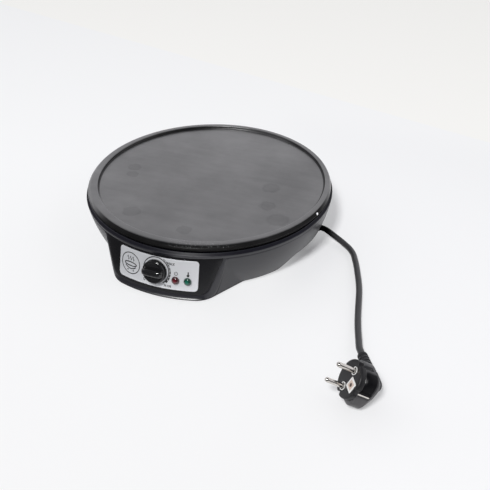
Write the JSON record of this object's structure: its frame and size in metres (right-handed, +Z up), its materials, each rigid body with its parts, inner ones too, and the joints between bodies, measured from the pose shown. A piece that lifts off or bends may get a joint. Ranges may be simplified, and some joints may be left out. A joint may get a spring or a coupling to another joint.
{
  "type": "electric crepe maker",
  "caption": "Countertop electric crepe maker: round non-stick hot plate on a moulded base, with a control knob, indicator lamps and a mains lead.",
  "frame": {"origin": "on the table, under the middle of the appliance's box without its mains lead", "axes": "+Z up, the control head faces -Y, the mains lead leaves on +X"},
  "size_m": [0.4081, 0.3998, 0.063],
  "materials": {
    "nonstick_cast": "dark grey non-stick coating, semi-gloss",
    "sheath_steel": "heat-dulled steel sheath",
    "ceramic": "cream ceramic, matt",
    "reflector_steel": "aluminised sheet, satin",
    "zinc_steel": "zinc-plated, satin",
    "copper": "drawn copper, satin",
    "shell_black": "moulded, fine satin grain",
    "fascia_black": "smooth, low gloss",
    "panel_silver": "silver-printed sheet, satin",
    "knob_black": "polished",
    "lens_red": "translucent dark red",
    "lens_green": "translucent dark green",
    "nylon_white": "natural nylon",
    "neon_glass": "clear glass",
    "glass_sleeve": "varnished glass-fibre sleeve",
    "terminal_brass": "bright brass",
    "lead_brown": "heat-resistant insulation, satin",
    "lead_blue": "heat-resistant insulation, satin",
    "lead_green_yellow": "green and yellow insulation, satin",
    "cover_black": "moulded, matt",
    "foot_rubber": "matt",
    "cord_black": "round sheath, satin",
    "plug_black": "moulded-on, satin",
    "insert_white": "moulded pin carrier",
    "pin_nickel": "nickel-plated",
    "spindle_steel": "turned"
  },
  "bodies": {
    "crepe_maker": {"cooking_plate": "nonstick_cast", "heating_element": "sheath_steel", "element_beads": "ceramic", "element_tabs": "zinc_steel", "heat_reflector": "reflector_steel", "reflector_screws": "zinc_steel", "plate_spacers": "zinc_steel", "plate_washers": "zinc_steel", "plate_screws": "zinc_steel", "sensor_bulb": "copper", "bulb_clip": "zinc_steel", "capillary_tube": "copper", "base_shell": "shell_black", "control_fascia": "fascia_black", "panel_plate": "panel_silver", "thermostat_body": "ceramic", "thermostat_tabs": "terminal_brass", "thermostat_bracket": "zinc_steel", "thermostat_screws": "zinc_steel", "bracket_screws": "zinc_steel", "lens_red": "lens_red", "lens_green": "lens_green", "lamp_holders": "nylon_white", "neon_lamps": "neon_glass", "thermal_fuse": "pin_nickel", "fuse_sleeve": "glass_sleeve", "fuse_clip": "zinc_steel", "terminal_block": "nylon_white", "block_screws": "terminal_brass", "cord_cores": "lead_brown", "lead_live": "lead_brown", "lead_switched": "lead_brown", "lead_neutral": "lead_blue", "lead_earth": "lead_green_yellow", "earth_tag": "terminal_brass", "bottom_cover": "cover_black", "cover_screws": "zinc_steel", "rubber_feet": "foot_rubber", "inner_cord": "cord_black", "cord_clamp": "nylon_white", "clamp_screws": "zinc_steel", "cord_gland": "cord_black", "power_cord": "cord_black", "plug_neck": "plug_black", "plug_body": "plug_black", "plug_insert": "insert_white", "plug_pins": "pin_nickel", "plug_earths": "terminal_brass"},
    "control_knob": {"knob": "knob_black", "spindle": "spindle_steel"}
  },
  "joints": [
    {"name": "knob_turn", "type": "hinge", "parent": "crepe_maker", "child": "control_knob", "pos_m": [0, -0.14624, 0.031], "axis": [0, -0.9654, 0.2607], "range_deg": [-240, 0]}
  ]
}
